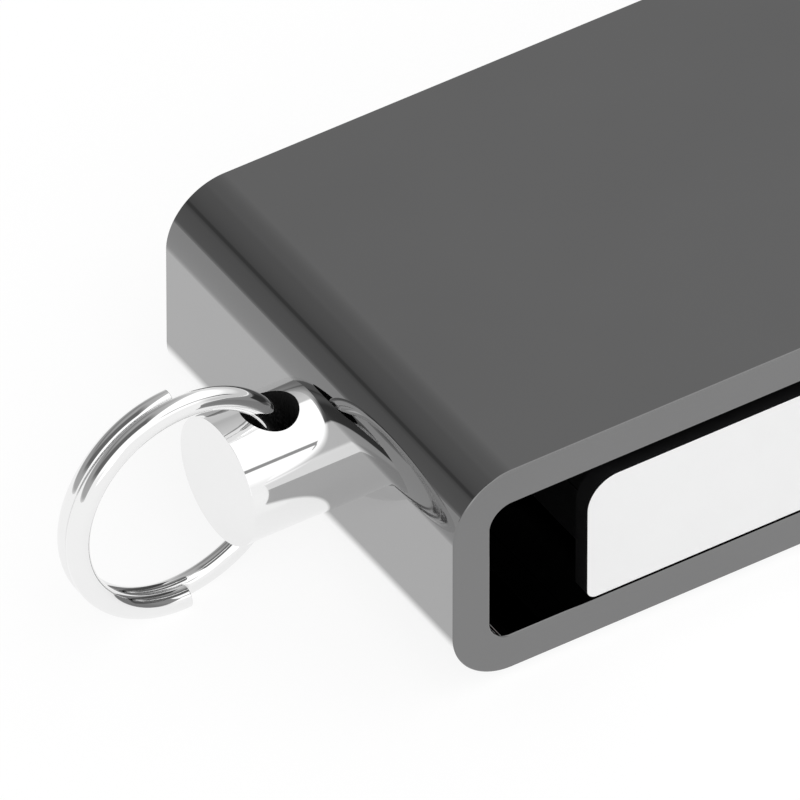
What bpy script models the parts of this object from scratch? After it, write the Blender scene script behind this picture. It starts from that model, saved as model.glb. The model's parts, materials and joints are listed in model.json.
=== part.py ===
"""USB flash drive with a swivelling metal bracket, a key-ring lug and a split ring.

The drive is shown open. The bracket is a U of thick metal that lies on its side. The drive
body turns between its two plates about a vertical pivot, so half a turn brings the plug in
front of the closed end of the U. A turned lug is riveted to that end, and its cross hole
carries a split ring.

Frame: the origin is on the pivot's axis, level with the flat underside of the bracket.
+X runs towards the plug, +Z is up. Lengths are in metres.
"""

import math

import bmesh
import bpy
from mathutils import Matrix

MM = 0.001

# Clearances
fit_gap = 0.1 * MM  # between two pieces that sit on or in each other
seat_gap = 0.02 * MM  # under the lug, where the seat is in plain sight
turning_clearance = 0.36 * MM  # from the turning drive's corners to the bracket's end wall
plate_clearance = 0.375 * MM  # from the drive body to each plate of the bracket
ring_clearance = 0.06 * MM  # from the ring's wire to the hole in the lug

# Bracket
bracket_width = 18.5 * MM
bracket_height = 9.0 * MM
bracket_wall = 1.5 * MM
bend_radius = 2.4 * MM  # outside of each bend
bend_steps = 16

# Drive body
body_rear_reach = 25.2 * MM  # from the pivot to the rear end
body_front_reach = 16.0 * MM  # from the pivot to the plug's end
body_overhang = 0.25 * MM  # how far each side stands out from the bracket
body_top_corner = 1.25 * MM
body_bottom_corner = 0.4 * MM
corner_steps = 8
shell_wall = 0.8 * MM
shell_rear_inset = 1.2 * MM  # how far the shells' rear end lies inside the side trims' ends
shell_front_inset = 0.3 * MM  # and their front end
ledge_width = 1.15 * MM  # ledges along the shells' sides that hold the circuit board
trim_thickness = 0.75 * MM
peg_radius = 0.7 * MM
peg_length = 0.5 * MM
peg_inset = 5.0 * MM  # from the body's ends to the trims' pegs

# Plug, to the size of a standard type A plug
plug_width = 12.0 * MM
plug_height = 4.5 * MM
plug_length = 18.75 * MM
plug_exposed = 12.0 * MM
plug_sheet = 0.3 * MM
plug_corner = 0.6 * MM
window_length = 1.95 * MM
window_width = 2.5 * MM
window_from_tip = 5.16 * MM
window_spacing = 5.7 * MM
tongue_thickness = 1.84 * MM
tongue_recess = 0.3 * MM
insulator_block_length = 4.6 * MM
insulator_side_gap = 0.2 * MM  # clears the sleeve's rounded inner corners
contact_width = 1.0 * MM
contact_thickness = 0.2 * MM
contact_proud = 0.05 * MM  # how far the contacts stand above the tongue
contact_tail = 2.0 * MM  # how far they reach over the circuit board
outer_contact_offset = 3.5 * MM
inner_contact_offset = 1.0 * MM
outer_contact_recess = 1.5 * MM
inner_contact_recess = 2.5 * MM

# Pivot: one countersunk rivet in each plate
rivet_head_radius = 2.6 * MM
rivet_shank_radius = 1.5 * MM
rivet_neck_radius = 1.0 * MM
rivet_foot_radius = 1.4 * MM
rivet_foot_thickness = 0.3 * MM
retainer_radius = 2.2 * MM
retainer_thickness = 0.3 * MM
washer_radius = 3.0 * MM
boss_radius = 3.0 * MM
boss_depth = 0.6 * MM  # below the shell's inner face

# Circuit board and what it carries
board_thickness = 0.6 * MM
board_hole_margin = 0.9 * MM  # from the pivot's retainers to the edge of the board's hole
flash_size = (14.0 * MM, 12.0 * MM, 1.0 * MM)
flash_place = (-13.2 * MM, 0.0)
controller_size = (6.0 * MM, 6.0 * MM, 0.65 * MM)
controller_place = (-12.5 * MM, 0.0)
crystal_size = (2.5 * MM, 3.2 * MM, 0.7 * MM)
crystal_place = (5.0 * MM, 4.4 * MM)
regulator_size = (1.6 * MM, 2.9 * MM, 0.9 * MM)
regulator_place = (5.0 * MM, -4.4 * MM)
passive_size = (1.0 * MM, 0.5 * MM, 0.4 * MM)
led_size = (0.8 * MM, 1.6 * MM, 0.6 * MM)
led_inset = 0.6 * MM  # from the board's rear edge to the LED
light_pipe_radius = 0.8 * MM
chip_edge = 0.06 * MM

# Lug and split ring
lug_radius = 2.4 * MM
lug_hole_web = 0.46 * MM  # metal between the bracket and the cross hole
lug_tip_web = 1.44 * MM  # metal between the cross hole and the lug's end
lug_edge = 0.08 * MM
lug_shank_radius = 1.2 * MM
lug_flare = 0.6 * MM  # how far the hole for its spread shank opens out
hole_edge = 0.1 * MM
ring_radius = 4.35 * MM  # to the middle of the wire
wire_width = 0.86 * MM  # across the ring's radius
wire_thickness = 0.64 * MM  # along the ring's axis
layer_gap = 0.05 * MM  # between the ring's two turns
ring_start = math.radians(92)
ring_turn = math.radians(541)
step_start = math.radians(273)  # where the wire leaves the first turn's plane
step_end = math.radians(452)  # where it reaches the second turn's plane
ring_points = 97

# Worked out from the above
opening_height = bracket_height - 2 * bracket_wall
mid_height = bracket_height / 2
body_height = opening_height - 2 * plate_clearance
body_width = bracket_width + 2 * body_overhang
body_bottom = mid_height - body_height / 2
body_top = mid_height + body_height / 2
shell_width = body_width - 2 * (trim_thickness + fit_gap)
shell_rear = -body_rear_reach + shell_rear_inset
plug_tip = body_front_reach + plug_exposed
plug_rear = plug_tip - plug_length
plug_reach = math.hypot(plug_tip, plug_width / 2)
rear_corner_reach = math.hypot(body_rear_reach, body_width / 2)
end_inner = -(max(plug_reach, rear_corner_reach) + turning_clearance)
end_outer = end_inner - bracket_wall
ring_outer_radius = ring_radius + wire_width / 2
ring_inner_radius = ring_radius - wire_width / 2
ring_exit = math.sqrt(ring_inner_radius**2 - lug_radius**2)  # where the wire leaves the lug
lug_hole_radius = (ring_outer_radius - ring_exit) / 2 + ring_clearance
lug_hole_offset = lug_hole_web + lug_hole_radius
lug_length = lug_hole_offset + lug_hole_radius + lug_tip_web
ring_axis_x = end_outer - lug_hole_offset
ring_centre_offset = (ring_outer_radius + ring_exit) / 2
tongue_bottom = mid_height - plug_height / 2 + plug_sheet + fit_gap
tongue_top = tongue_bottom + tongue_thickness
contact_top = tongue_top + contact_proud
contact_bottom = contact_top - contact_thickness
board_top = contact_bottom - fit_gap
board_bottom = board_top - board_thickness
board_rear = shell_rear + shell_wall + fit_gap
board_front = plug_rear - fit_gap
cavity_half_width = shell_width / 2 - shell_wall
ledge_half_width = cavity_half_width - ledge_width
board_hole_radius = retainer_radius + board_hole_margin
light_pipe_height = mid_height + 2 * fit_gap + light_pipe_radius


def clear_scene():
    for old in list(bpy.data.objects):
        bpy.data.objects.remove(old)


def new_collection(name):
    collection = bpy.data.collections.new(name)
    bpy.context.scene.collection.children.link(collection)
    return collection


def new_material(name, colour, roughness, metallic=0.0):
    material = bpy.data.materials.new(name)
    material.use_nodes = True
    shader = material.node_tree.nodes["Principled BSDF"]
    shader.inputs["Base Color"].default_value = (*colour, 1.0)
    shader.inputs["Roughness"].default_value = roughness
    shader.inputs["Metallic"].default_value = metallic
    return material


clear_scene()
parts = new_collection("usb_flash_drive")
cutters = new_collection("cutters")


def new_axis(name, place):
    """An empty on a joint's axis, which carries the pieces that move about it."""
    axis = bpy.data.objects.new(name, None)
    axis.location = place
    parts.objects.link(axis)
    return axis


swivel_axis = new_axis("swivel_axis", (0, 0, mid_height))
ring_axis = new_axis("ring_axis", (ring_axis_x, 0, mid_height))


def mesh_object(name, mesh, place=(0, 0, 0), rotation=(0, 0, 0)):
    obj = bpy.data.objects.new(name, mesh)
    obj.location = place
    obj.rotation_euler = rotation
    parts.objects.link(obj)
    return obj


def box(name, low, high):
    """A box between two corners, with its origin at its centre."""
    size = [b - a for a, b in zip(low, high)]
    centre = [(a + b) / 2 for a, b in zip(low, high)]
    mesh = bpy.data.meshes.new(name)
    shape = bmesh.new()
    bmesh.ops.create_cube(shape, size=1, matrix=Matrix.Diagonal((*size, 1)))
    shape.to_mesh(mesh)
    shape.free()
    return mesh_object(name, mesh, centre)


def cylinder(name, radius, depth, centre, rotation=(0, 0, 0), end_radius=None, steps=48):
    """A cylinder or, with an end radius, a cone, along its own Z axis."""
    mesh = bpy.data.meshes.new(name)
    shape = bmesh.new()
    bmesh.ops.create_cone(
        shape,
        cap_ends=True,
        segments=steps,
        radius1=radius,
        radius2=radius if end_radius is None else end_radius,
        depth=depth,
    )
    shape.to_mesh(mesh)
    shape.free()
    shade_round(mesh)
    return mesh_object(name, mesh, centre, rotation)


def shade_round(mesh):
    mesh.shade_smooth()
    mesh.set_sharp_from_angle(angle=math.radians(30))


def turned(name, profile, place, rotation=(0, 0, 0), loop=False, steps=48):
    """A profile of (radius, height) points, turned about Z. A loop is closed, clear of the axis."""
    count = len(profile)
    edges = [(i, i + 1) for i in range(count - 1)]
    if loop:
        edges.append((count - 1, 0))
    mesh = bpy.data.meshes.new(name)
    mesh.from_pydata([(radius, 0, height) for radius, height in profile], edges, [])
    obj = mesh_object(name, mesh, place, rotation)
    screw = obj.modifiers.new("turn", "SCREW")
    screw.axis = "Z"
    screw.steps = steps
    screw.render_steps = steps
    screw.use_merge_vertices = not loop
    screw.merge_threshold = 1e-6
    screw.use_smooth_shade = True
    return obj


def flat_washer(name, outer, inner, low, high):
    """A flat ring about the pivot's axis, between two heights."""
    middle = (low + high) / 2
    half = (high - low) / 2
    profile = [(outer, half), (outer, -half), (inner, -half), (inner, half)]
    return turned(name, profile, (0, 0, middle), loop=True)


def arc(centre, radius, start, end, steps):
    """Points on an arc, with angles in degrees. A radius of 0 gives the one corner point."""
    if radius == 0:
        return [centre]
    points = []
    for i in range(steps + 1):
        angle = math.radians(start + (end - start) * i / steps)
        x = centre[0] + radius * math.cos(angle)
        y = centre[1] + radius * math.sin(angle)
        points.append((x, y))
    return points


def rounded_rectangle(left, right, low, high, low_radius, high_radius):
    """An outline with one radius for its two lower corners and one for its two upper ones."""
    b, t = low_radius, high_radius
    points = arc((right - b, low + b), b, -90, 0, corner_steps)
    points += arc((right - t, high - t), t, 0, 90, corner_steps)
    points += arc((left + t, high - t), t, 90, 180, corner_steps)
    points += arc((left + b, low + b), b, 180, 270, corner_steps)
    return points


def slab(name, outlines, thickness, place, rotation):
    """Flat closed outlines, filled and given a thickness, as a welded mesh."""
    data = bpy.data.curves.new(name, "CURVE")
    data.dimensions = "2D"
    data.fill_mode = "BOTH"
    data.extrude = thickness / 2
    for outline in outlines:
        spline = data.splines.new("POLY")
        spline.points.add(len(outline) - 1)
        for point, (x, y) in zip(spline.points, outline):
            point.co = (x, y, 0, 1)
        spline.use_cyclic_u = True
    curve = mesh_object(name + "_outline", data, place, rotation)
    return welded_mesh(name, curve)


def welded_mesh(name, curve):
    """The curve object as a closed mesh, which can be cut."""
    bpy.context.view_layer.update()
    graph = bpy.context.evaluated_depsgraph_get()
    mesh = bpy.data.meshes.new_from_object(curve.evaluated_get(graph))
    shape = bmesh.new()
    shape.from_mesh(mesh)
    bmesh.ops.remove_doubles(shape, verts=shape.verts, dist=1e-6)
    shape.to_mesh(mesh)
    shape.free()
    shade_round(mesh)
    obj = mesh_object(name, mesh)
    obj.matrix_world = curve.matrix_world
    bpy.data.objects.remove(curve)
    return obj


FACING_SIDE = (math.pi / 2, 0, 0)  # an outline's x and y lie along X and Z
FACING_FRONT = (math.pi / 2, 0, math.pi / 2)  # an outline's x and y lie along Y and Z
POINTING_REAR = (0, -math.pi / 2, 0)  # a turned piece's axis runs along -X
LYING_ACROSS = (math.pi / 2, 0, 0)  # a cylinder's axis runs along Y


def combine(obj, other, operation):
    """Cuts obj by the other solid, or joins them. The other one becomes a helper."""
    parts.objects.unlink(other)
    cutters.objects.link(other)
    other.hide_render = True
    other.display_type = "WIRE"
    modifier = obj.modifiers.new(operation.lower(), "BOOLEAN")
    modifier.operation = operation
    modifier.object = other


def bevel_edges(obj, width, segments=1):
    bevel = obj.modifiers.new("edges", "BEVEL")
    bevel.width = width
    bevel.segments = segments
    bevel.limit_method = "ANGLE"


def finish(obj, material, axis=None):
    """Gives the piece its material, and hangs it on the axis that it moves about."""
    obj.data.materials.clear()
    obj.data.materials.append(material)
    if axis:
        obj.parent = axis
        obj.matrix_parent_inverse = Matrix.Translation(axis.location).inverted()


dark_chrome = new_material("dark_chrome", (0.13, 0.13, 0.135), 0.12, 1.0)
bright_chrome = new_material("bright_chrome", (0.82, 0.82, 0.83), 0.08, 1.0)
steel = new_material("steel", (0.6, 0.6, 0.62), 0.25, 1.0)
black_plastic = new_material("black_plastic", (0.012, 0.012, 0.013), 0.4)
white_plastic = new_material("white_plastic", (0.9, 0.9, 0.9), 0.25)
nylon = new_material("nylon", (0.7, 0.7, 0.66), 0.5)
circuit_green = new_material("circuit_green", (0.02, 0.16, 0.07), 0.45)
chip_black = new_material("chip_black", (0.02, 0.02, 0.022), 0.6)
passive_brown = new_material("passive_brown", (0.3, 0.2, 0.12), 0.5)
gold = new_material("gold", (0.9, 0.66, 0.3), 0.2, 1.0)
clear_plastic = new_material("clear_plastic", (0.85, 0.9, 0.92), 0.1)


def bracket_outline():
    """The U seen from the side: outside from the lower plate's free end, then back inside."""
    right = bracket_width  # past the free ends, which are rounded off afterwards
    inner = bend_radius - bracket_wall
    low = bracket_wall
    high = bracket_height - bracket_wall
    bend_x = end_outer + bend_radius
    points = [(right, 0)]
    points += arc((bend_x, bend_radius), bend_radius, 270, 180, bend_steps)
    points += arc((bend_x, bracket_height - bend_radius), bend_radius, 180, 90, bend_steps)
    points += [(right, bracket_height), (right, high)]
    points += arc((bend_x, high - inner), inner, 90, 180, bend_steps)
    points += arc((bend_x, low + inner), inner, 180, 270, bend_steps)
    points += [(right, low)]
    return points


def bracket_plan():
    """The bracket seen from above: square at its closed end, round about the pivot."""
    half = bracket_width / 2
    beyond = end_outer - half
    points = [(beyond, half), (beyond, -half)]
    points += arc((0, 0), half, -90, 90, 48)
    return points


def countersink_profile(head, shank, far, past):
    """A countersunk hole's shape down from its face at height 0, with both ends run past."""
    cone = head - shank
    return [(0, past), (head + past, past), (shank, -cone), (shank, -far - past), (0, -far - past)]


def make_bracket():
    wide = 2 * bracket_width
    bracket = slab("swivel_bracket", [bracket_outline()], wide, (0, 0, 0), FACING_SIDE)
    tall = 2 * bracket_height
    plan = slab("bracket_plan", [bracket_plan()], tall, (0, 0, mid_height), (0, 0, 0))
    combine(bracket, plan, "INTERSECT")
    past = fit_gap
    pivot_hole = countersink_profile(
        rivet_head_radius + fit_gap, rivet_shank_radius + fit_gap, bracket_wall, past
    )
    upper = turned("upper_pivot_hole", pivot_hole, (0, 0, bracket_height))
    lower = turned("lower_pivot_hole", pivot_hole, (0, 0, 0), (math.pi, 0, 0))
    combine(bracket, upper, "DIFFERENCE")
    combine(bracket, lower, "DIFFERENCE")
    shank = lug_shank_radius + fit_gap
    lug_hole = countersink_profile(shank + lug_flare, shank, bracket_wall, past)
    seat = turned("lug_seat", lug_hole, (end_inner, 0, mid_height), (0, math.pi / 2, 0))
    combine(bracket, seat, "DIFFERENCE")
    finish(bracket, dark_chrome)


def make_lug():
    """The lug stands on the closed end, and its shank is spread flush with the inner face."""
    foot = bracket_wall - fit_gap
    flare = lug_flare - fit_gap
    profile = [
        (0, lug_length),
        (lug_radius - lug_edge, lug_length),
        (lug_radius, lug_length - lug_edge),
        (lug_radius, seat_gap),
        (lug_shank_radius, seat_gap),
        (lug_shank_radius, -foot + flare),
        (lug_shank_radius + flare, -foot),
        (0, -foot),
    ]
    lug = turned("ring_lug", profile, (end_outer, 0, mid_height), POINTING_REAR, steps=64)
    hole_place = (ring_axis_x, 0, mid_height)
    hole = cylinder("lug_hole", lug_hole_radius, 3 * lug_radius, hole_place)
    combine(lug, hole, "DIFFERENCE")
    past = lug_radius / 2
    depth = hole_edge + past
    for side, name in ((1, "upper"), (-1, "lower")):
        height = mid_height + side * (lug_radius - hole_edge + depth / 2)
        mouth = cylinder(
            name + "_hole_mouth",
            lug_hole_radius,
            depth,
            (ring_axis_x, 0, height),
            rotation=(0 if side > 0 else math.pi, 0, 0),
            end_radius=lug_hole_radius + depth,
        )
        combine(lug, mouth, "DIFFERENCE")
    finish(lug, bright_chrome)


def layer_offset(angle):
    """How far the wire lies from the ring's middle plane: a flat turn, a smooth step, a flat turn."""
    part = (angle - step_start) / (step_end - step_start)
    part = min(max(part, 0), 1)
    return (wire_thickness + layer_gap) * (part * part * (3 - 2 * part) - 0.5)


def make_split_ring():
    """A coil of one and a half turns of round wire, then flattened along its axis."""
    flatten = wire_thickness / wire_width
    data = bpy.data.curves.new("split_ring", "CURVE")
    data.dimensions = "3D"
    data.bevel_depth = wire_width / 2
    data.bevel_resolution = 4
    data.use_fill_caps = True
    spline = data.splines.new("POLY")
    spline.points.add(ring_points - 1)
    for i, point in enumerate(spline.points):
        angle = ring_start + ring_turn * i / (ring_points - 1)
        x = ring_radius * math.cos(angle) - ring_centre_offset
        y = -layer_offset(angle) / flatten
        z = ring_radius * math.sin(angle)
        point.co = (x, y, z, 1)
    curve = mesh_object("split_ring_path", data, (ring_axis_x, 0, mid_height))
    curve.scale = (1, flatten, 1)
    ring = welded_mesh("split_ring", curve)
    finish(ring, bright_chrome, ring_axis)


def make_rivet(name, side):
    """A flush rivet in one plate. Its shank passes the shell's boss, and a retainer holds it there."""
    face = mid_height + side * bracket_height / 2
    rotation = (0 if side > 0 else math.pi, 0, 0)
    boss_end = (bracket_height - body_height) / 2 + shell_wall + boss_depth
    shank_end = boss_end + fit_gap
    foot_start = shank_end + retainer_thickness + 2 * fit_gap
    cone = rivet_head_radius - rivet_shank_radius
    profile = [
        (0, 0),
        (rivet_head_radius, 0),
        (rivet_shank_radius, -cone),
        (rivet_shank_radius, -shank_end),
        (rivet_neck_radius, -shank_end),
        (rivet_neck_radius, -foot_start),
        (rivet_foot_radius, -foot_start),
        (rivet_foot_radius, -foot_start - rivet_foot_thickness),
        (0, -foot_start - rivet_foot_thickness),
    ]
    finish(turned("pivot_rivet_" + name, profile, (0, 0, face), rotation), dark_chrome)
    near = face - side * (shank_end + fit_gap)
    far = near - side * retainer_thickness
    retainer = flat_washer(
        "rivet_retainer_" + name,
        retainer_radius,
        rivet_neck_radius + fit_gap,
        min(near, far),
        max(near, far),
    )
    finish(retainer, steel)
    plate_face = mid_height + side * opening_height / 2
    body_face = mid_height + side * body_height / 2
    washer = flat_washer(
        "pivot_washer_" + name,
        washer_radius,
        rivet_shank_radius + fit_gap,
        min(plate_face, body_face) + fit_gap,
        max(plate_face, body_face) - fit_gap,
    )
    finish(washer, nylon)


def peg_places():
    """Where the side trims' pegs meet the shells: (x, z), two in each shell."""
    ends = (-body_rear_reach + peg_inset, body_front_reach - peg_inset)
    heights = (mid_height - body_height / 4, mid_height + body_height / 4)
    return [(x, z) for x in ends for z in heights]


def make_shell(name, low, high, low_radius, high_radius, side):
    """One half of the case: its side profile, with the hollow, plug pocket and pivot hole cut in."""
    front = body_front_reach - shell_front_inset
    outline = rounded_rectangle(shell_rear, front, low, high, low_radius, high_radius)
    shell = slab(name, [outline], shell_width, (0, 0, 0), FACING_SIDE)
    floor = mid_height + side * (body_height / 2 - shell_wall)
    inside = mid_height - side * body_height  # well past the parting face
    rear = shell_rear + shell_wall
    hollow = box(
        name + "_hollow",
        (rear, -ledge_half_width, min(floor, inside)),
        (plug_rear, ledge_half_width, max(floor, inside)),
    )
    boss = cylinder(name + "_boss", boss_radius, 2 * boss_depth, (0, 0, floor))
    combine(hollow, boss, "DIFFERENCE")
    combine(shell, hollow, "DIFFERENCE")
    pocket_half_width = plug_width / 2 + fit_gap
    pocket_half_height = plug_height / 2 + fit_gap
    pocket = box(
        name + "_plug_pocket",
        (plug_rear - fit_gap, -pocket_half_width, mid_height - pocket_half_height),
        (body_front_reach + shell_wall, pocket_half_width, mid_height + pocket_half_height),
    )
    combine(shell, pocket, "DIFFERENCE")
    if side < 0:
        board_seat = box(
            name + "_board_seat",
            (rear, -cavity_half_width, board_bottom - fit_gap),
            (plug_rear, cavity_half_width, mid_height + body_height),
        )
        combine(shell, board_seat, "DIFFERENCE")
    pivot_hole = cylinder(
        name + "_pivot_hole", rivet_shank_radius + fit_gap, 2 * body_height, (0, 0, floor)
    )
    combine(shell, pivot_hole, "DIFFERENCE")
    for i, (x, z) in enumerate(peg_places()):
        if low < z < high:
            hole = cylinder(
                f"{name}_peg_hole_{i + 1}",
                peg_radius + fit_gap,
                shell_width + fit_gap,
                (x, 0, z),
                LYING_ACROSS,
                steps=24,
            )
            core_width = shell_width - 2 * (peg_length + fit_gap)
            core = box(
                f"{name}_peg_core_{i + 1}",
                (x - 2 * peg_radius, -core_width / 2, z - 2 * peg_radius),
                (x + 2 * peg_radius, core_width / 2, z + 2 * peg_radius),
            )
            combine(hole, core, "DIFFERENCE")
            combine(shell, hole, "DIFFERENCE")
    return shell


def make_shells():
    parting_low = mid_height - fit_gap / 2
    parting_high = mid_height + fit_gap / 2
    lower = make_shell("lower_shell", body_bottom, parting_low, body_bottom_corner, 0, -1)
    upper = make_shell("upper_shell", parting_high, body_top, 0, body_top_corner, 1)
    pipe_place = (shell_rear, 0, light_pipe_height)
    pipe_hole = cylinder(
        "light_pipe_hole",
        light_pipe_radius + fit_gap,
        4 * shell_wall,
        pipe_place,
        POINTING_REAR,
        steps=24,
    )
    combine(upper, pipe_hole, "DIFFERENCE")
    finish(lower, black_plastic, swivel_axis)
    finish(upper, black_plastic, swivel_axis)


def make_light_pipe():
    """A clear rod through the upper shell's rear wall, in front of the LED."""
    start = shell_rear + fit_gap
    end = shell_rear + shell_wall
    pipe = cylinder(
        "light_pipe",
        light_pipe_radius,
        end - start,
        ((start + end) / 2, 0, light_pipe_height),
        POINTING_REAR,
        steps=24,
    )
    finish(pipe, clear_plastic, swivel_axis)


def make_trim(name, side):
    """A side panel with pegs that press into both shells and hold them together."""
    outline = rounded_rectangle(
        -body_rear_reach,
        body_front_reach,
        body_bottom,
        body_top,
        body_bottom_corner,
        body_top_corner,
    )
    inner_face = shell_width / 2 + fit_gap
    middle = side * (inner_face + trim_thickness / 2)
    trim = slab(name, [outline], trim_thickness, (0, middle, 0), FACING_SIDE)
    for i, (x, z) in enumerate(peg_places()):
        root = inner_face + trim_thickness / 2
        tip = inner_face - fit_gap - peg_length
        peg = cylinder(
            f"{name}_peg_{i + 1}",
            peg_radius,
            root - tip,
            (x, side * (root + tip) / 2, z),
            LYING_ACROSS,
            steps=24,
        )
        combine(trim, peg, "UNION")
    finish(trim, white_plastic, swivel_axis)


def make_plug_shell():
    """The plug's folded sheet-metal sleeve, with its four retention windows."""
    half_width = plug_width / 2
    outer = rounded_rectangle(
        -half_width,
        half_width,
        mid_height - plug_height / 2,
        mid_height + plug_height / 2,
        plug_corner,
        plug_corner,
    )
    inner = rounded_rectangle(
        -half_width + plug_sheet,
        half_width - plug_sheet,
        mid_height - plug_height / 2 + plug_sheet,
        mid_height + plug_height / 2 - plug_sheet,
        plug_corner - plug_sheet,
        plug_corner - plug_sheet,
    )
    middle = (plug_rear + plug_tip) / 2
    sleeve = slab("plug_shell", [outer, inner], plug_length, (middle, 0, 0), FACING_FRONT)
    front = plug_tip - window_from_tip
    for side, name in ((1, "left"), (-1, "right")):
        y = side * window_spacing / 2
        window = box(
            name + "_windows",
            (front - window_length, y - window_width / 2, mid_height - plug_height),
            (front, y + window_width / 2, mid_height + plug_height),
        )
        combine(sleeve, window, "DIFFERENCE")
    finish(sleeve, steel, swivel_axis)


def contact_rows():
    """Each contact's name, sideways place and front end."""
    outer_front = plug_tip - outer_contact_recess
    inner_front = plug_tip - inner_contact_recess
    return [
        ("contact_1", outer_contact_offset, outer_front),
        ("contact_2", inner_contact_offset, inner_front),
        ("contact_3", -inner_contact_offset, inner_front),
        ("contact_4", -outer_contact_offset, outer_front),
    ]


def make_insulator():
    """The plug's plastic tongue and the block behind it, with a channel for each contact."""
    rear = plug_rear + fit_gap
    step = plug_rear + insulator_block_length
    tongue_front = plug_tip - tongue_recess
    block_top = mid_height + plug_height / 2 - plug_sheet - fit_gap
    outline = [
        (rear, tongue_bottom),
        (tongue_front, tongue_bottom),
        (tongue_front, tongue_top),
        (step, tongue_top),
        (step, block_top),
        (rear, block_top),
    ]
    width = plug_width - 2 * (plug_sheet + insulator_side_gap)
    insulator = slab("plug_insulator", [outline], width, (0, 0, 0), FACING_SIDE)
    half = contact_width / 2 + fit_gap
    for name, y, front in contact_rows():
        channel = box(
            name + "_channel",
            (plug_rear - contact_tail, y - half, contact_bottom - fit_gap),
            (front + fit_gap, y + half, contact_top + fit_gap),
        )
        combine(insulator, channel, "DIFFERENCE")
    finish(insulator, black_plastic, swivel_axis)


def make_contacts():
    half = contact_width / 2
    for name, y, front in contact_rows():
        low = (plug_rear - contact_tail, y - half, contact_bottom)
        contact = box(name, low, (front, y + half, contact_top))
        bevel_edges(contact, contact_thickness / 4)
        finish(contact, gold, swivel_axis)


def make_board():
    """The circuit board. The pivot's rivets end inside its hole."""
    half_width = cavity_half_width - fit_gap
    board = box(
        "circuit_board",
        (board_rear, -half_width, board_bottom),
        (board_front, half_width, board_top),
    )
    hole = cylinder("board_hole", board_hole_radius, 4 * board_thickness, (0, 0, board_top))
    combine(board, hole, "DIFFERENCE")
    finish(board, circuit_green, swivel_axis)


def make_chip(name, size, place, side, material):
    """A flat package on the board's upper (1) or lower (-1) face."""
    near = board_top + fit_gap if side > 0 else board_bottom - fit_gap - size[2]
    x, y = place
    low = (x - size[0] / 2, y - size[1] / 2, near)
    high = (x + size[0] / 2, y + size[1] / 2, near + size[2])
    chip = box(name, low, high)
    bevel_edges(chip, chip_edge)
    finish(chip, material, swivel_axis)


def make_electronics():
    make_board()
    make_chip("flash_memory", flash_size, flash_place, 1, chip_black)
    make_chip("controller_chip", controller_size, controller_place, -1, chip_black)
    make_chip("crystal", crystal_size, crystal_place, 1, steel)
    make_chip("voltage_regulator", regulator_size, regulator_place, 1, chip_black)
    led_place = (board_rear + led_inset, 0)
    make_chip("activity_led", led_size, led_place, 1, clear_plastic)
    # The small parts stand in rows beside the controller, on the board's lower face.
    row_x = controller_place[0] + controller_size[0] / 2 + 2 * passive_size[0]
    for i in range(3):
        y = (i - 1) * 4 * passive_size[1]
        make_chip(f"capacitor_{i + 1}", passive_size, (row_x, y), -1, passive_brown)
    row_x = controller_place[0] - controller_size[0] / 2 - 2 * passive_size[0]
    for i in range(2):
        y = (2 * i - 1) * 2 * passive_size[1]
        make_chip(f"resistor_{i + 1}", passive_size, (row_x, y), -1, chip_black)


def make_drive():
    make_bracket()
    make_lug()
    make_split_ring()
    make_rivet("top", 1)
    make_rivet("bottom", -1)
    make_shells()
    make_trim("side_trim_left", 1)
    make_trim("side_trim_right", -1)
    make_light_pipe()
    make_plug_shell()
    make_insulator()
    make_contacts()
    make_electronics()


make_drive()
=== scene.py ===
"""Looks for the swivel USB flash drive: fine meshes and procedural materials around its frame."""

import json
import math

import bmesh
import bpy
from mathutils import Matrix, Vector


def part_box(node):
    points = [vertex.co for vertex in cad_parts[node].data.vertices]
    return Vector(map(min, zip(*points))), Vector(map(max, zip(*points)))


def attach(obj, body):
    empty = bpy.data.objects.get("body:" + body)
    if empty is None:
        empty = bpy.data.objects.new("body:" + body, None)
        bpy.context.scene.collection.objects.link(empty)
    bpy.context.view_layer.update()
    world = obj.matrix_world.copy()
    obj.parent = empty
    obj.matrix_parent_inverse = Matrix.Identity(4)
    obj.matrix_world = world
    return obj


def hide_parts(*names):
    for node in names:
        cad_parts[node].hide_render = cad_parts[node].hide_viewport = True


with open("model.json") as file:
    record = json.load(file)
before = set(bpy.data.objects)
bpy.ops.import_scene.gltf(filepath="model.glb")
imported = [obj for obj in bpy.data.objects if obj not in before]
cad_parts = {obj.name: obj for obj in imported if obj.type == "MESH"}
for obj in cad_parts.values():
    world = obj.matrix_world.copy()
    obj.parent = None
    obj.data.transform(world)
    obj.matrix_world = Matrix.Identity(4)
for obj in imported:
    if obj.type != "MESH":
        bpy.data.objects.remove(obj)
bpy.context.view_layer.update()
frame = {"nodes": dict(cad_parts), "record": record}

MM = 0.001

# ---------------------------------------------------------------- sizes, as in the frame

# Bracket
bracket_low, bracket_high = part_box("swivel_bracket")
bracket_width = bracket_high.y - bracket_low.y
bracket_height = bracket_high.z - bracket_low.z
mid_height = bracket_height / 2
wall = 1.5 * MM
bend_outer = 2.4 * MM
bend_inner = bend_outer - wall
end_outer = bracket_low.x
end_inner = end_outer + wall
hole_gap = 0.1 * MM  # round each rivet, and round what sits in a shell
tool_reach = 3.0 * MM  # of a cutting tool, past the face or plane that it starts from
overcut = 1.0 * MM  # how far a shorter tool runs on past what it cuts

# Pivot rivets, with heights measured down from the head
rivet_radius = 2.6 * MM
rivet_shank = 1.5 * MM
rivet_neck = 1.0 * MM
rivet_foot = 1.4 * MM
rivet_shank_end = 3.37 * MM
rivet_neck_end = 3.87 * MM
rivet_foot_end = 4.17 * MM
rivet_sink = 0.01 * MM  # how far the head lies below the plate
rivet_edge = 0.05 * MM
rivet_cone = rivet_radius - rivet_shank

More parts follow.
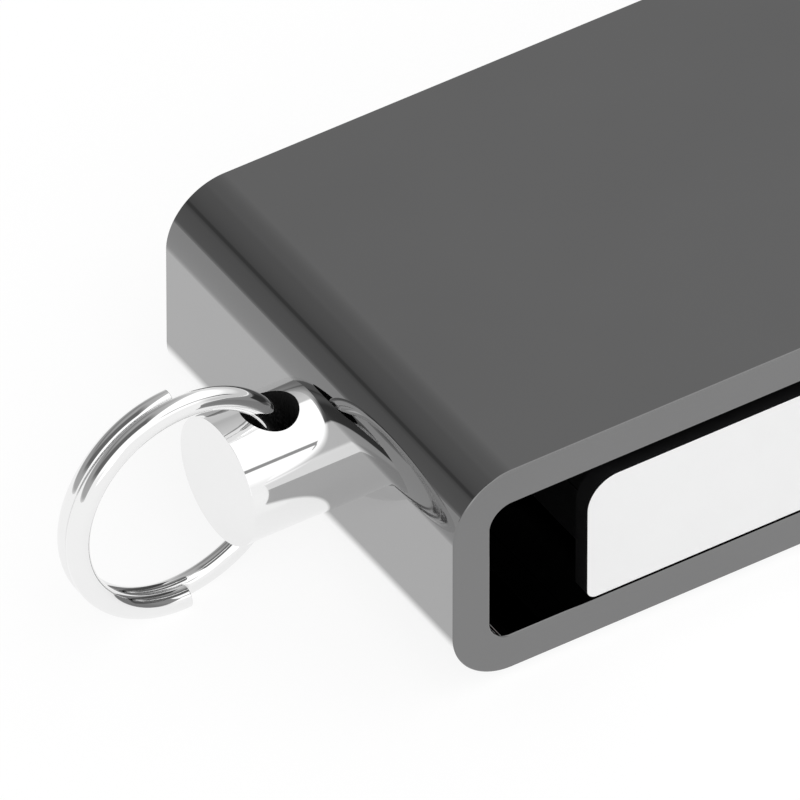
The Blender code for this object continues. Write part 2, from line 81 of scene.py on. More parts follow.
# Drive body: side panels and shells
trim_low, trim_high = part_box("side_trim_left")
body_rear, body_front = trim_low.x, trim_high.x
body_bottom, body_top = trim_low.z, trim_high.z
body_half_width = trim_high.y
top_corner = 1.25 * MM
bottom_corner = 0.4 * MM
panel_thickness = 0.75 * MM
face_thickness = 0.12 * MM  # the white layer on each side panel

shell_low, shell_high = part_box("upper_shell")
shell_rear, shell_front = shell_low.x, shell_high.x
shell_half_width = shell_high.y
shell_split = shell_low.z
shell_split_gap = 0.1 * MM
shell_wall = 0.8 * MM
ledge_width = 1.15 * MM  # inside each side wall, under the circuit board
boss_radius = 3.0 * MM
boss_height = 0.6 * MM
board_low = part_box("circuit_board")[0]
pipe_low, pipe_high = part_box("light_pipe")
pipe_radius = (pipe_high.y - pipe_low.y) / 2
pipe_height = (pipe_low.z + pipe_high.z) / 2
pipe_dome = 0.12 * MM
pipe_hole_reach = 2.0 * MM

# Plug
plug_low, plug_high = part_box("plug_shell")
plug_rear, plug_tip = plug_low.x, plug_high.x
plug_sheet = 0.3 * MM
plug_corner = 0.6 * MM
window_length = 1.95 * MM
window_width = 2.5 * MM
window_from_tip = 5.16 * MM
window_offset = 2.85 * MM
window_corner = 0.12 * MM
seam_half_width = 0.025 * MM
seam_depth = 0.12 * MM

# Lug
lug_low, lug_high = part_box("ring_lug")
lug_radius = (lug_high.y - lug_low.y) / 2
lug_length = end_outer - lug_low.x
lug_let_in = 0.06 * MM  # into the bracket, so that the joint is clean
lug_shank = 1.2 * MM
lug_spread = 1.7 * MM  # radius of the shank's spread end
lug_spread_length = 0.5 * MM
lug_foot = 1.4 * MM  # how far the shank reaches into the bracket
seat_radius = 1.3 * MM
seat_flare = 2.0 * MM
seat_flare_depth = 0.6 * MM
lug_hole_radius = 1.04 * MM
lug_hole_web = 0.56 * MM  # metal between the bracket and the cross hole

# Split ring
ring_low, ring_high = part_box("split_ring")
wire_width = 0.86 * MM  # along the ring's radius
wire_thickness = 0.8 * MM  # along the ring's axis
layer_step = 0.53 * MM  # between the two turns, which lie flat against each other
touching_gap = 0.008 * MM  # the hairline between their flats
ring_radius = (ring_high.z - ring_low.z - wire_width) / 2
ring_narrow = 0.15 * MM  # the coil is a little oval
ring_shift = 0.05 * MM  # how far it sits towards -X
ring_centre_x = ring_low.x + ring_radius + wire_width / 2 - ring_shift
ring_start = math.radians(92)
ring_turn = math.radians(541)
step_start = math.radians(273)  # where the wire leaves the first turn's plane
step_end = math.radians(452)  # where it reaches the second turn's plane
touching_fade = math.radians(5)  # from each of these, until the wire is whole


# ---------------------------------------------------------------- node helpers


def new_tree(name):
    material = bpy.data.materials.new(name)
    material.use_nodes = True
    tree = material.node_tree
    return material, tree, tree.nodes["Principled BSDF"]


def add(tree, kind, inputs=None, **settings):
    """Adds a node. Inputs are numbers, colours or other nodes' sockets, by name or place."""
    made = tree.nodes.new("ShaderNode" + kind)
    for key, value in settings.items():
        setattr(made, key, value)
    for key, value in (inputs or {}).items():
        if isinstance(value, bpy.types.NodeSocket):
            tree.links.new(value, made.inputs[key])
        else:
            made.inputs[key].default_value = value
    return made


def coordinates(tree, stretch=(1, 1, 1)):
    """The piece's own coordinates in millimetres, stretched."""
    place = add(tree, "TexCoord")
    scale = tuple(s / MM for s in stretch)
    return add(tree, "Mapping", {"Vector": place.outputs["Object"], "Scale": scale}).outputs[0]


def noise(tree, per_mm, stretch=(1, 1, 1), detail=4.0):
    where = coordinates(tree, stretch)
    inputs = {"Vector": where, "Scale": per_mm, "Detail": detail, "Roughness": 0.55}
    return add(tree, "TexNoise", inputs).outputs["Fac"]


def span(tree, value, low, high, start=0.3, end=0.7, smooth=False):
    """Maps a value from start..end to low..high. The usual start and end suit a noise."""
    inputs = {"Value": value, "From Min": start, "From Max": end, "To Min": low, "To Max": high}
    kind = "SMOOTHSTEP" if smooth else "LINEAR"
    return add(tree, "MapRange", inputs, interpolation_type=kind).outputs["Result"]


def rise(tree, value, start, end):
    """0 up to start, 1 from end on, and a smooth step between them."""
    return span(tree, value, 0, 1, start, end, smooth=True)


def fall(tree, value, start, end):
    """1 up to start, 0 from end on, and a smooth step between them."""
    return span(tree, value, 1, 0, start, end, smooth=True)


def blend_colours(tree, factor, first, second):
    inputs = {"Factor": factor, "A": first, "B": second}
    return add(tree, "Mix", inputs, data_type="RGBA").outputs[2]


def maths(tree, operation, a, b=0.0):
    return add(tree, "Math", {0: a, 1: b}, operation=operation).outputs[0]


def product(tree, first, *others):
    for other in others:
        first = maths(tree, "MULTIPLY", first, other)
    return first


def bump(tree, shader, height, depth_mm):
    made = add(tree, "Bump", {"Height": height, "Distance": depth_mm * MM, "Strength": 1.0})
    tree.links.new(made.outputs["Normal"], shader.inputs["Normal"])


def grey(value):
    return (value, value, value, 1.0)


def shade(colour, factor):
    return (*(min(1.0, c * factor) for c in colour), 1.0)


# ---------------------------------------------------------------- materials


def speckled(name, colour, roughness, vary, per_mm, depth_mm, sheen=0.5):
    """A surface with a fine grain in its colour, gloss and height."""
    material, tree, shader = new_tree(name)
    coarse = span(tree, noise(tree, per_mm / 6, detail=3.0), 0, 1)
    fine = noise(tree, per_mm)
    both = blend_colours(tree, coarse, shade(colour, 1 - vary), shade(colour, 1 + vary))
    tree.links.new(both, shader.inputs["Base Color"])
    tree.links.new(span(tree, fine, *roughness), shader.inputs["Roughness"])
    shader.inputs["Specular IOR Level"].default_value = sheen
    bump(tree, shader, fine, depth_mm)
    return material


def brushed(name, colour, roughness, stretch, depth_mm):
    """A metal with fine lines along one way, and soft stains across it."""
    material, tree, shader = new_tree(name)
    lines = noise(tree, 1.0, stretch, detail=6.0)
    stains = span(tree, noise(tree, 0.25, detail=3.0), 0, 1)
    stained = blend_colours(tree, stains, shade(colour, 0.95), shade(colour, 1.05))
    tree.links.new(stained, shader.inputs["Base Color"])
    tree.links.new(span(tree, lines, *roughness), shader.inputs["Roughness"])
    shader.inputs["Metallic"].default_value = 1.0
    bump(tree, shader, lines, depth_mm)
    return material


def dark_chrome_material():
    """Polished dark plating: a mirror that turns brighter the flatter it is seen."""
    material, tree, shader = new_tree("dark_chrome")
    facing = add(tree, "LayerWeight", {"Blend": 0.5}).outputs["Facing"]
    gloss = rise(tree, facing, 0.52, 0.79)
    stains = span(tree, noise(tree, 0.12, detail=3.0), 0, 1)
    face_on = blend_colours(tree, stains, (0.203, 0.203, 0.204, 1), (0.211, 0.211, 0.212, 1))
    tree.links.new(blend_colours(tree, gloss, face_on, grey(0.96)), shader.inputs["Base Color"])
    shader.inputs["Metallic"].default_value = 1.0
    smudges = noise(tree, 0.5, detail=5.0)
    tree.links.new(span(tree, smudges, 0.015, 0.045), shader.inputs["Roughness"])
    scratches = noise(tree, 1.0, (0.4, 9.0, 9.0), detail=5.0)
    bump(tree, shader, scratches, 0.00004)
    return material


def bright_chrome_material():
    """Bright plating: a clean mirror with faint stains and turning marks."""
    material, tree, shader = new_tree("bright_chrome")
    stains = span(tree, noise(tree, 0.4, detail=3.0), 0, 1)
    colour = blend_colours(tree, stains, grey(0.86), grey(0.873))
    tree.links.new(colour, shader.inputs["Base Color"])
    shader.inputs["Metallic"].default_value = 1.0
    smudges = noise(tree, 1.5, detail=5.0)
    tree.links.new(span(tree, smudges, 0.015, 0.05), shader.inputs["Roughness"])
    bump(tree, shader, noise(tree, 4.0, (1, 6, 1)), 0.00004)
    return material


def board_material():
    """Green solder mask, with paler tracks showing through it."""
    material, tree, shader = new_tree("circuit_green")
    tracks = add(
        tree,
        "TexBrick",
        {
            "Vector": coordinates(tree, (1, 1, 0.01)),
            "Scale": 1.0,
            "Mortar Size": 0.09,
            "Mortar Smooth": 0.2,
            "Brick Width": 2.6,
            "Row Height": 0.55,
            "Color1": (0.012, 0.13, 0.055, 1),
            "Color2": (0.016, 0.15, 0.065, 1),
            "Mortar": (0.035, 0.24, 0.1, 1),
        },
    )
    tree.links.new(tracks.outputs["Color"], shader.inputs["Base Color"])
    tree.links.new(span(tree, noise(tree, 3.0), 0.3, 0.5), shader.inputs["Roughness"])
    bump(tree, shader, tracks.outputs["Fac"], 0.02)
    return material


def ceramic_material():
    """A brown ceramic body with tinned ends."""
    material, tree, shader = new_tree("passive_brown")
    place = add(tree, "TexCoord").outputs["Generated"]
    along = add(tree, "SeparateXYZ", {"Vector": place}).outputs["X"]
    off_centre = maths(tree, "ABSOLUTE", maths(tree, "SUBTRACT", along, 0.5))
    ends = span(tree, off_centre, 0, 1, 0.27, 0.29)
    grain = span(tree, noise(tree, 6.0), 0, 1)
    body = blend_colours(tree, grain, (0.2, 0.12, 0.07, 1), (0.27, 0.17, 0.1, 1))
    tree.links.new(blend_colours(tree, ends, body, grey(0.7)), shader.inputs["Base Color"])
    tree.links.new(ends, shader.inputs["Metallic"])
    tree.links.new(span(tree, noise(tree, 9.0), 0.3, 0.5), shader.inputs["Roughness"])
    bump(tree, shader, grain, 0.002)
    return material


def clear_material():
    """Clear plastic with a faint cloud in it."""
    material, tree, shader = new_tree("clear_plastic")
    cloud = span(tree, noise(tree, 2.0), 0, 1)
    colour = blend_colours(tree, cloud, (0.9, 0.94, 0.96, 1), (0.97, 0.98, 0.99, 1))
    tree.links.new(colour, shader.inputs["Base Color"])
    tree.links.new(span(tree, cloud, 0.06, 0.16, 0, 1), shader.inputs["Roughness"])
    shader.inputs["Transmission Weight"].default_value = 1.0
    shader.inputs["IOR"].default_value = 1.49
    bump(tree, shader, cloud, 0.001)
    return material


dark_chrome = dark_chrome_material()
bright_chrome = bright_chrome_material()
steel = brushed("steel", (0.62, 0.62, 0.63), (0.16, 0.3), (0.15, 14.0, 14.0), 0.0015)
gold = brushed("gold", (0.93, 0.67, 0.31), (0.14, 0.3), (0.2, 16.0, 16.0), 0.001)
black = (0.008, 0.008, 0.0084)
black_plastic = speckled("black_plastic", black, (0.4, 0.55), 0.15, 9.0, 0.004, sheen=0.15)
# Near-black matte for the walls of the lug's cross hole: painted shade, where the chrome walls only
# lie in shade
hole_painted_shade = speckled("hole_painted_shade", (0.004, 0.004, 0.004), (0.7, 0.9), 0.2, 6.0, 0.004)
white_plastic = speckled("white_plastic", (0.95, 0.95, 0.95), (0.16, 0.26), 0.008, 2.0, 0.0006)
clear_plastic = clear_material()
finishes = {
    "dark_chrome": dark_chrome,
    "bright_chrome": bright_chrome,
    "steel": steel,
    "gold": gold,
    "black_plastic": black_plastic,
    "white_plastic": white_plastic,
    "plug_plastic": speckled("plug_plastic", (0.018, 0.018, 0.02), (0.4, 0.55), 0.12, 7.0, 0.004),
    "nylon": speckled("nylon", (0.7, 0.7, 0.66), (0.4, 0.55), 0.04, 4.0, 0.004),
    "chip_black": speckled("chip_black", (0.022, 0.022, 0.024), (0.5, 0.7), 0.2, 12.0, 0.006),
    "circuit_green": board_material(),
    "passive_brown": ceramic_material(),
    "clear_plastic": clear_plastic,
}


# ---------------------------------------------------------------- mesh helpers


def smooth_but_creased(mesh):
    mesh.shade_smooth()
    mesh.set_sharp_from_angle(angle=math.radians(30))


def add_piece(name, points, faces, material):
    mesh = bpy.data.meshes.new(name)
    mesh.from_pydata([tuple(p) for p in points], [], faces)
    mesh.materials.append(material)
    mesh.update()
    smooth_but_creased(mesh)
    piece = bpy.data.objects.new(name, mesh)
    bpy.context.scene.collection.objects.link(piece)
    return piece


def arc(centre, radius, start, end, steps):
    """Points on an arc, with angles in degrees."""
    across, up = centre
    points = []
    for i in range(steps + 1):
        angle = math.radians(start + (end - start) * i / steps)
        points.append((across + radius * math.cos(angle), up + radius * math.sin(angle)))
    return points


def rounded(left, right, low, high, low_radius=0, high_radius=0, steps=16):
    """A rectangle's outline, with its low and high corners rounded."""
    corners = [
        (right, low, -1, 1, low_radius, -90),
        (right, high, -1, -1, high_radius, 0),
        (left, high, 1, -1, high_radius, 90),
        (left, low, 1, 1, low_radius, 180),
    ]
    points = []
    for across, up, inward_across, inward_up, radius, start in corners:
        if radius:
            centre = (across + inward_across * radius, up + inward_up * radius)
            points += arc(centre, radius, start, start + 90, steps)
        else:
            points.append((across, up))
    return points


def along_x(y, z, x):
    return (x, y, z)


def along_y(x, z, y):
    return (x, y, z)


def along_z(x, y, z):
    return (x, y, z)


def prism(name, outline, low, high, place, material):
    """An outline, run from low to high along one axis."""
    count = len(outline)
    points = [place(a, b, low) for a, b in outline] + [place(a, b, high) for a, b in outline]
    faces = [tuple(range(count)), tuple(range(2 * count - 1, count - 1, -1))]
    for i in range(count):
        j = (i + 1) % count
        faces.append((i, i + count, j + count, j))
    return add_piece(name, points, faces, material)


def lathe(name, profile, material, matrix, steps=96):
    """A profile of (radius, height) points, turned about Z and then put in place."""
    points, faces, rows = [], [], []
    for radius, height in profile:
        if radius == 0:
            rows.append([len(points)] * steps)
            points.append((0, 0, height))
            continue
        rows.append(list(range(len(points), len(points) + steps)))
        for i in range(steps):
            angle = 2 * math.pi * i / steps
            points.append((radius * math.cos(angle), radius * math.sin(angle), height))
    for row, after in zip(rows, rows[1:]):
        for i in range(steps):
            j = (i + 1) % steps
            corners = [row[i], row[j], after[j], after[i]]
            faces.append(tuple(dict.fromkeys(corners)))
    piece = add_piece(name, points, faces, material)
    piece.data.transform(matrix)
    return piece


def rod(name, radius, reach, material, matrix, steps=64):
    """A plain round tool that reaches as far both ways from its middle."""
    profile = [(0, -reach), (radius, -reach), (radius, reach), (0, reach)]
    return lathe(name, profile, material, matrix, steps)


def outward(piece):
    """Turns every face outwards."""
    shape = bmesh.new()
    shape.from_mesh(piece.data)
    bmesh.ops.recalc_face_normals(shape, faces=shape.faces)
    shape.to_mesh(piece.data)
    shape.free()
    return piece


def cut(piece, *tools, operation="DIFFERENCE"):
    """Cuts the piece by each tool, and keeps the tools' materials on the cut faces."""
    for tool in tools:
        outward(tool)
        modifier = piece.modifiers.new("cut", "BOOLEAN")
        modifier.operation = operation
        modifier.solver = "EXACT"
        modifier.material_mode = "TRANSFER"
        modifier.object = tool
    apply_modifiers(piece)
    for tool in tools:
        bpy.data.objects.remove(tool)


def apply_modifiers(piece):
    bpy.context.view_layer.update()
    graph = bpy.context.evaluated_depsgraph_get()
    mesh = bpy.data.meshes.new_from_object(piece.evaluated_get(graph))
    piece.modifiers.clear()
    piece.data = mesh
    smooth_but_creased(mesh)


def soften(piece, width, segments=2):
    """Rounds the sharp edges a little, and keeps the flat faces' reflections flat."""
    bevel = piece.modifiers.new("edges", "BEVEL")
    bevel.width = width
    bevel.segments = segments
    bevel.limit_method = "ANGLE"
    bevel.angle_limit = math.radians(35)
    bevel.miter_outer = "MITER_ARC"
    even = piece.modifiers.new("even_normals", "WEIGHTED_NORMAL")
    even.mode = "FACE_AREA"
    even.weight = 100
    even.keep_sharp = True


def put(piece, body, slot, *replaced):
    """Ties a piece to its body, and hides the CAD nodes that it stands for. The slot is not used.
    """
    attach(piece, body)
    if replaced:
        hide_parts(*replaced)


def turned_to_x(x, z=mid_height, side=1):
    """Puts a turned shape at x and z with its axis along X, or along -X for side -1."""
    return Matrix.Translation((x, 0, z)) @ Matrix.Rotation(side * math.pi / 2, 4, "Y")


# ---------------------------------------------------------------- the bracket, its lug and rivets

top_place = Matrix.Translation((0, 0, bracket_height))
bottom_place = Matrix.Rotation(math.pi, 4, "X")


def bracket_outline():
    """The U seen from the side, with legs that run on past the free ends."""
    right = bracket_high.x + bracket_width
    bend_x = end_outer + bend_outer
    top = bracket_height
    points = [(right, 0)]
    points += arc((bend_x, bend_outer), bend_outer, 270, 180, 48)
    points += arc((bend_x, top - bend_outer), bend_outer, 180, 90, 48)
    points += [(right, top), (right, top - wall)]
    points += arc((bend_x, top - bend_outer), bend_inner, 90, 180, 32)
    points += arc((bend_x, bend_outer), bend_inner, 180, 270, 32)
    points += [(right, wall)]
    return points


def make_bracket():
    """The bent strip with round free ends, sunk for the rivets and holed for the lug."""
    wide = bracket_width
    bracket = outward(prism("bracket_metal", bracket_outline(), -wide, wide, along_y, dark_chrome))
    half = bracket_width / 2
    plan = [(end_outer - half, half), (end_outer - half, -half)] + arc((0, 0), half, -90, 90, 128)
    low, high = -tool_reach, bracket_height + tool_reach
    cut(bracket, prism("plan", plan, low, high, along_z, dark_chrome), operation="INTERSECT")
    head, shank = rivet_radius + hole_gap, rivet_shank + hole_gap
    sink = [(0, hole_gap), (head + hole_gap, hole_gap), (shank, -rivet_cone)]
    sink += [(shank, -tool_reach), (0, -tool_reach)]
    seat = [(0, hole_gap), (seat_flare, hole_gap), (seat_radius, -seat_flare_depth)]
    seat += [(seat_radius, -tool_reach), (0, -tool_reach)]
    cut(
        bracket,
        lathe("upper_sink", sink, dark_chrome, top_place),
        lathe("lower_sink", sink, dark_chrome, bottom_place),
        lathe("seat", seat, dark_chrome, turned_to_x(end_inner)),
    )
    soften(bracket, width=0.05 * MM)
    put(bracket, "bracket", "dark_chrome", "swivel_bracket")


def make_rivet(name, place):
    """A flush countersunk rivet, with a fine groove round its head."""
    profile = [(0, -rivet_sink)]
    profile += [(rivet_radius * share, -rivet_sink) for share in (0.25, 0.5, 0.75, 0.94)]
    profile += [(rivet_radius - rivet_edge, -2 * rivet_sink)]
    profile += [(rivet_radius, -2 * rivet_sink - rivet_edge)]
    profile += [(rivet_shank, -rivet_cone), (rivet_shank, -rivet_shank_end)]
    profile += [(rivet_neck, -rivet_shank_end), (rivet_neck, -rivet_neck_end)]
    profile += [(rivet_foot, -rivet_neck_end), (rivet_foot, -rivet_foot_end), (0, -rivet_foot_end)]
    rivet = outward(lathe("rivet_" + name, profile, dark_chrome, place))
    put(rivet, "bracket", "dark_chrome", "pivot_rivet_" + name)


def make_lug():
    """The turned lug with its cross hole, and the shank that is spread inside the bracket."""
    profile = [(0, lug_length), (lug_radius, lug_length)]
    profile += [(lug_radius, -lug_let_in), (lug_shank, -lug_let_in)]
    profile += [(lug_shank, lug_spread_length - lug_foot), (lug_spread, -lug_foot), (0, -lug_foot)]
    place = turned_to_x(end_outer, side=-1)
    lug = outward(lathe("lug_turned", profile, bright_chrome, place, steps=160))
    middle = Matrix.Translation((end_outer - lug_hole_web - lug_hole_radius, 0, mid_height))
    # The hole's walls take the tool's near-black material: painted shade inside the chrome hole
    cut(lug, rod("hole", lug_hole_radius, 2 * lug_radius, hole_painted_shade, middle, steps=96))
    soften(lug, width=0.03 * MM, segments=3)
    put(lug, "bracket", "bright_chrome", "ring_lug")


def eased(share):
    """A share from 0 to 1 that starts and ends gently."""
    share = min(max(share, 0), 1)
    return share * share * (3 - 2 * share)


def contact_limit(angle):
    """How far the wire reaches towards the other turn: cut flat where the two turns touch."""
    touching = (layer_step - touching_gap) / 2
    full = wire_thickness / 2
    past = min(angle - step_start, step_end - angle)
    return touching + (full - touching) * eased(past / touching_fade)


def make_ring():
    """The coil: one and a half turns of wire, flat where they touch, with square-cut ends."""
    steps, around = 640, 48
    points, faces = [], []
    for i in range(steps + 1):
        angle = ring_start + ring_turn * i / steps
        crossed = (angle - step_start) / (step_end - step_start)
        y = layer_step * (0.5 - eased(crossed))
        out = Vector((math.cos(angle), 0, math.sin(angle)))
        centre = Vector((ring_centre_x, y, mid_height)) + out * ring_radius
        centre.x -= out.x * ring_narrow
        limit = contact_limit(angle)
        for k in range(around):
            turn = 2 * math.pi * k / around
            sideways = wire_thickness / 2 * math.sin(turn)
            sideways = max(sideways, -limit) if crossed < 0.5 else min(sideways, limit)
            outwards = out * (wire_width / 2 * math.cos(turn))
            points.append(centre + outwards + Vector((0, sideways, 0)))
    for i in range(steps):
        row, after = i * around, (i + 1) * around
        for k in range(around):
            j = (k + 1) % around
            faces.append((row + k, row + j, after + j, after + k))
    faces.append(tuple(range(around)))
    last = steps * around
    faces.append(tuple(range(last + around - 1, last - 1, -1)))
    ring = outward(add_piece("split_ring_wire", points, faces, bright_chrome))
    soften(ring, width=0.03 * MM)
    put(ring, "key_ring", "bright_chrome", "split_ring")


# ---------------------------------------------------------------- the drive body


def make_side_panel(name, side):
    """A black panel with a thin white face on its outer side; the face's edges are black as painted
    shade.
    """
    outer = side * body_half_width
    under = side * (body_half_width - face_thickness)
    inner = side * (body_half_width - panel_thickness)
    outline = rounded(body_rear, body_front, body_bottom, body_top, bottom_corner, top_corner)
    low, high = sorted((inner, under))
    back = outward(prism("side_panel_" + name, outline, low, high, along_y, black_plastic))
    put(back, "drive", "black_plastic", "side_trim_" + name)
    low, high = sorted((under, outer))
    face = outward(prism("side_face_" + name, outline, low, high, along_y, white_plastic))
    # The white face's edges take the black plastic: painted shade, so the rim round the white face
    # reads dark
    face.data.materials.append(black_plastic)
    for polygon in face.data.polygons:
        if abs(polygon.normal.y) < 0.5:
            polygon.material_index = 1
    soften(face, width=0.02 * MM)
    put(face, "drive", "white_plastic")


def make_shell(name, side, low, high, low_radius=0, high_radius=0):
    """One half of the black case: a tray with a boss round the pivot, and the plug's pocket."""
    outline = rounded(shell_rear, shell_front, low, high, low_radius, high_radius)
    half = shell_half_width
    shell = outward(prism("case_" + name, outline, -half, half, along_y, black_plastic))
    inside = half - shell_wall - ledge_width
    floor = mid_height + side * ((body_top - body_bottom) / 2 - shell_wall)
    heights = sorted((floor, mid_height - side * tool_reach))
    hollow = rounded(shell_rear + shell_wall, plug_rear, *heights)
    cavity = prism("cavity", hollow, -inside, inside, along_y, black_plastic)
    at_floor = Matrix.Translation((0, 0, floor))
    cut(cavity, rod("boss", boss_radius, boss_height, black_plastic, at_floor))
    gap = hole_gap
    pocket = rounded(plug_low.y - gap, plug_high.y + gap, plug_low.z - gap, plug_high.z + gap)
    front = shell_front + overcut
    tools = [
        cavity,
        prism("pocket", pocket, plug_rear - gap, front, along_x, black_plastic),
        rod("pivot", rivet_shank + gap, bracket_height, black_plastic, Matrix()),
    ]
    if side < 0:
        seat = rounded(shell_rear + shell_wall, plug_rear, board_low.z - gap, body_top)
        edge = half - shell_wall
        tools.append(prism("board_seat", seat, -edge, edge, along_y, black_plastic))
    else:
        place = turned_to_x(shell_rear, pipe_height)
        radius = pipe_radius + gap
        tools.append(rod("pipe_hole", radius, pipe_hole_reach, black_plastic, place, steps=48))
    cut(shell, *tools)
    soften(shell, width=0.06 * MM)
    put(shell, "drive", "black_plastic", name + "_shell")


def make_light_pipe():
    """A clear rod with a faintly domed outer end."""
    length = pipe_high.x - pipe_low.x
    profile = [(0, length)]
    dome_steps = 6
    for i in range(1, dome_steps + 1):
        angle = math.pi / 2 * i / dome_steps
        height = length - pipe_dome * (1 - math.cos(angle))
        profile.append((pipe_radius * math.sin(angle), height))
    profile += [(pipe_radius, 0), (0, 0)]
    place = turned_to_x(pipe_high.x, pipe_height, side=-1)
    pipe = outward(lathe("light_pipe_rod", profile, clear_plastic, place, steps=48))
    put(pipe, "drive", "clear_plastic", "light_pipe")


def plug_section(inset):
    """The sleeve's outline seen from the tip, drawn in by the inset."""
    corner = plug_corner - inset
    left, right = plug_low.y + inset, plug_high.y - inset
    return rounded(left, right, plug_low.z + inset, plug_high.z - inset, corner, corner, 12)


def make_plug():
    """The sheet-metal sleeve, with its windows and the seam of its folded sheet."""
    points = []
    for section in (plug_section(0), plug_section(plug_sheet)):
        for x in (plug_rear, plug_tip):
            points += [(x, y, z) for y, z in section]
    count = len(points) // 4
    outer_rear, outer_tip, inner_rear, inner_tip = (count * k for k in range(4))
    faces = []
    for i in range(count):
        j = (i + 1) % count
        faces.append((outer_rear + i, outer_rear + j, outer_tip + j, outer_tip + i))
        faces.append((inner_rear + i, inner_tip + i, inner_tip + j, inner_rear + j))
        faces.append((outer_rear + i, inner_rear + i, inner_rear + j, outer_rear + j))
        faces.append((outer_tip + i, outer_tip + j, inner_tip + j, inner_tip + i))
    sleeve = outward(add_piece("plug_sleeve", points, faces, steel))
    tools = []
    below, above = plug_low.z - overcut, plug_high.z + overcut
    front = plug_tip - window_from_tip
    for y in (-window_offset, window_offset):
        left, right = y - window_width / 2, y + window_width / 2
        rear = front - window_length
        hole = rounded(rear, front, left, right, window_corner, window_corner, 4)
        tools.append(prism("window", hole, below, above, along_z, steel))
    rear, front = plug_rear - overcut, plug_tip + overcut
    seam = rounded(rear, front, -seam_half_width, seam_half_width)
    tools.append(prism("seam", seam, below, plug_low.z + seam_depth, along_z, steel))
    cut(sleeve, *tools)
    soften(sleeve, width=0.04 * MM)
    put(sleeve, "drive", "steel", "plug_shell")


def dress_cad_nodes():
    """The pieces whose CAD shape is right keep it, and get their detailed material."""
    slots = {entry["node"]: entry["material_slot"] for entry in frame["record"]["subparts"]}
    for name, node in frame["nodes"].items():
        if node.hide_render:
            continue
        node.data.materials.clear()
        node.data.materials.append(finishes[slots[name]])


# ---------------------------------------------------------------- floor, light and camera


def make_floor():
    """A pale floor that the camera and reflections see as white, with the object's shadow."""
    half_size = 1.6
    floor_gap = 0.02 * MM
    height = ring_low.z - floor_gap
    outline = rounded(-half_size, half_size, -half_size, half_size)
    material, tree, shader = new_tree("floor")
    shader.inputs["Base Color"].default_value = grey(0.8)
    shader.inputs["Roughness"].default_value = 0.9
    shader.inputs["Specular IOR Level"].default_value = 0.0
    path = add(tree, "LightPath")
    seen = maths(tree, "MAXIMUM", path.outputs["Is Camera Ray"], path.outputs["Is Glossy Ray"])
    seen = maths(tree, "MAXIMUM", seen, path.outputs["Is Transmission Ray"])
    shadowed = add(tree, "BsdfDiffuse", {"Color": grey(0.16)})
    glow = add(tree, "Emission", {"Color": grey(1.0), "Strength": 0.88})
    both = add(tree, "AddShader", {0: shadowed.outputs[0], 1: glow.outputs[0]})
    mix = add(tree, "MixShader", {0: seen, 1: shader.outputs[0], 2: both.outputs[0]})
    tree.links.new(mix.outputs[0], tree.nodes["Material Output"].inputs["Surface"])
    points = [(x, y, height) for x, y in outline]
    floor = add_piece("floor", points, [tuple(range(len(points)))], material)


def brightness_by_height(tree, z, stops):
    """The brightness that (height, brightness) stops give at z."""
    ramp = add(tree, "ValToRGB", {0: z})
    elements = ramp.color_ramp.elements
    while len(elements) < len(stops):
        elements.new(0.5)
    for element, (position, value) in zip(elements, stops):
        element.position = position
        element.color = grey(value)
    return add(tree, "RGBToBW", {0: ramp.outputs[0]}).outputs[0]


def grey_wall(tree, x, z, depth):
    """The brightness of the wall, where depth is how far inside its edge a direction lies."""
    stops = [(0.1, 0.42), (0.4, 0.38), (0.47, 0.29), (0.53, 0.29)]
    stops += [(0.6, 0.33), (0.78, 0.42), (1.0, 0.45)]
    plain = brightness_by_height(tree, z, stops)
    # Deep inside, the wall is darker, most of all along one level line
    line_height = 0.505
    off_line = maths(tree, "ABSOLUTE", maths(tree, "SUBTRACT", z, line_height))
    line = span(tree, off_line, 0.43, 0.12, 0.015, 0.045, smooth=True)
    darker = product(tree, rise(tree, depth, 0.8, 1.0), line)
    plain = product(tree, plain, maths(tree, "SUBTRACT", 1.0, darker))
    # It brightens towards +X
    ahead = maths(tree, "POWER", maths(tree, "MAXIMUM", x, 0.0), 2.0)
    lit = maths(tree, "ADD", plain, product(tree, ahead, 1.3))
    # A dark part lies high up beside its edge, on the -X side
    near_edge = fall(tree, depth, 0.55, 0.85)
    core = product(tree, near_edge, fall(tree, x, -0.2, 0.05), rise(tree, z, 0.25, 0.45))
    core_brightness = 0.14
    return add(tree, "Mix", {"Factor": core, "A": lit, "B": core_brightness}).outputs[0]


def white_room(tree, x, y, z):
    """The brightness of the white side: a little brighter overhead, with three soft features."""
    level = span(tree, z, 1.0, 1.25, 0.22, 0.4, smooth=True)
    # Dimmer low down towards +X
    low_down = product(tree, fall(tree, z, 0.4, 0.6), rise(tree, z, -0.04, 0.04))
    dimmer = product(tree, span(tree, x, 0, 0.35, 0.5, 0.65, smooth=True), low_down)
    level = maths(tree, "SUBTRACT", level, dimmer)
    # A narrow dark seam that climbs towards -Y
    climb = 1.11
    across = maths(tree, "ABSOLUTE", maths(tree, "ADD", y, product(tree, z, climb)))
    seam = span(tree, across, 0.93, 0, 0.045, 0.08, smooth=True)
    seam = product(tree, seam, fall(tree, y, -0.4, -0.3), rise(tree, x, 0.0, 0.2))
    level = maths(tree, "SUBTRACT", level, seam)
    # A bright strip above the horizon, towards -Y and -X
    heights = product(tree, span(tree, z, 0, 0.9, -0.04, 0.0, smooth=True), fall(tree, z, 0.3, 0.4))
    strip = product(tree, fall(tree, y, -0.88, -0.8), fall(tree, x, -0.3, -0.2), heights)
    return maths(tree, "ADD", level, strip)


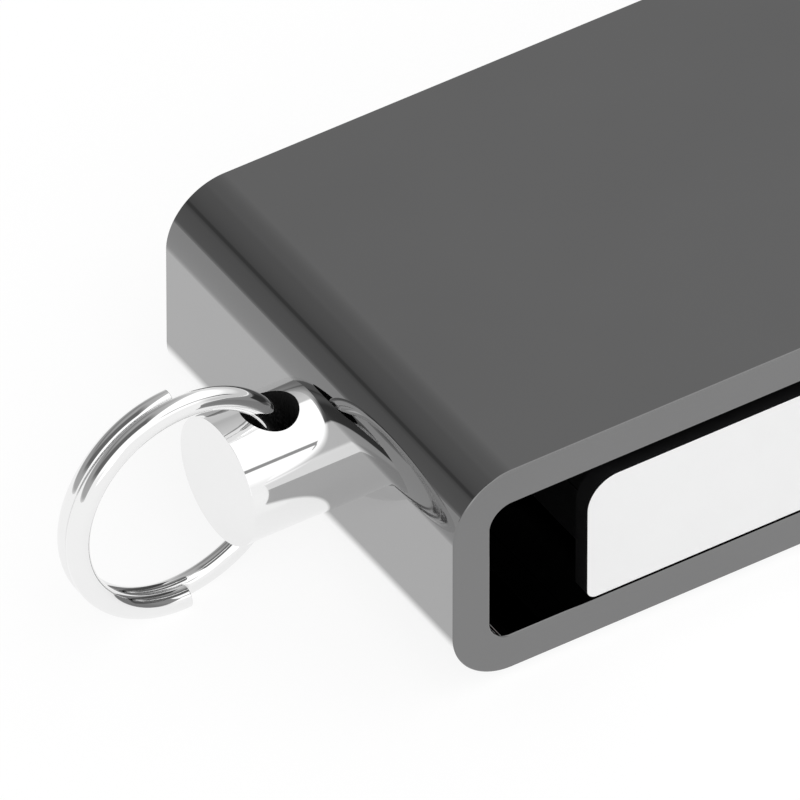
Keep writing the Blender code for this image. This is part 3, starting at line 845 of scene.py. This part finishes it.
def make_world():
    """A white studio with a grey wall behind the object. The camera sees plain white."""
    world = bpy.data.worlds.new("studio")
    bpy.context.scene.world = world
    world.use_nodes = True
    tree = world.node_tree
    way = add(tree, "SeparateXYZ", {0: add(tree, "TexCoord").outputs["Generated"]})
    x, y, z = way.outputs
    # The wall's edge runs at one y, and from x = -0.17 on it slants away towards +Y
    edge_y, bend_x, slant = -0.37, -0.17, 1.36
    past_bend = maths(tree, "MAXIMUM", maths(tree, "SUBTRACT", x, bend_x), 0.0)
    depth = maths(tree, "SUBTRACT", y, product(tree, past_bend, slant))
    depth = maths(tree, "SUBTRACT", depth, edge_y)
    behind = product(tree, rise(tree, z, -0.08, 0.09), rise(tree, depth, -0.04, 0.04))
    sides = {"Factor": behind, "A": white_room(tree, x, y, z), "B": grey_wall(tree, x, z, depth)}
    studio = add(tree, "Mix", sides).outputs[0]
    camera_ray = add(tree, "LightPath").outputs["Is Camera Ray"]
    level = add(tree, "Mix", {"Factor": camera_ray, "A": studio, "B": 1.0}).outputs[0]
    background = tree.nodes["Background"]
    background.inputs["Color"].default_value = grey(1.0)
    tree.links.new(level, background.inputs["Strength"])


def make_lamp():
    """A weak soft lamp at the front left. Reflections don't show it."""
    data = bpy.data.lights.new("soft_key", "AREA")
    data.shape = "DISK"
    data.size = 0.35
    data.energy = 0.25
    lamp = bpy.data.objects.new("soft_key", data)
    lamp.location = (-0.12, -0.45, 0.42)
    lamp.rotation_euler = (-Vector(lamp.location)).to_track_quat("-Z", "Y").to_euler()
    lamp.visible_glossy = False
    bpy.context.scene.collection.objects.link(lamp)


def make_camera():
    """A long lens, aimed beside the middle of the bracket's closed end."""
    azimuth, elevation = math.radians(-32.485), math.radians(41.15)
    distance = 1.07058
    aim_right, aim_up = 3.143 * MM, 1.497 * MM
    level = math.cos(elevation)
    back = Vector((math.sin(azimuth) * level, -math.cos(azimuth) * level, math.sin(elevation)))
    right = Vector((math.cos(azimuth), math.sin(azimuth), 0))
    up = back.cross(right)
    aim = Vector((end_outer, 0, mid_height)) + right * aim_right + up * aim_up
    data = bpy.data.cameras.new("camera")
    data.sensor_width = 36
    data.lens = 1400
    camera = bpy.data.objects.new("camera", data)
    turn = Matrix((right, up, back)).transposed().to_4x4()
    camera.matrix_world = Matrix.Translation(aim + back * distance) @ turn
    bpy.context.scene.collection.objects.link(camera)
    bpy.context.scene.camera = camera


make_camera()
make_bracket()
make_rivet("top", top_place)
make_rivet("bottom", bottom_place)
make_lug()
make_ring()
make_side_panel("left", 1)
make_side_panel("right", -1)
make_shell("lower", -1, body_bottom, shell_split - shell_split_gap, low_radius=bottom_corner)
make_shell("upper", 1, shell_split, body_top, high_radius=top_corner)
make_light_pipe()
make_plug()
dress_cad_nodes()
make_floor()
make_world()
make_lamp()
bpy.context.scene.view_settings.view_transform = "Standard"
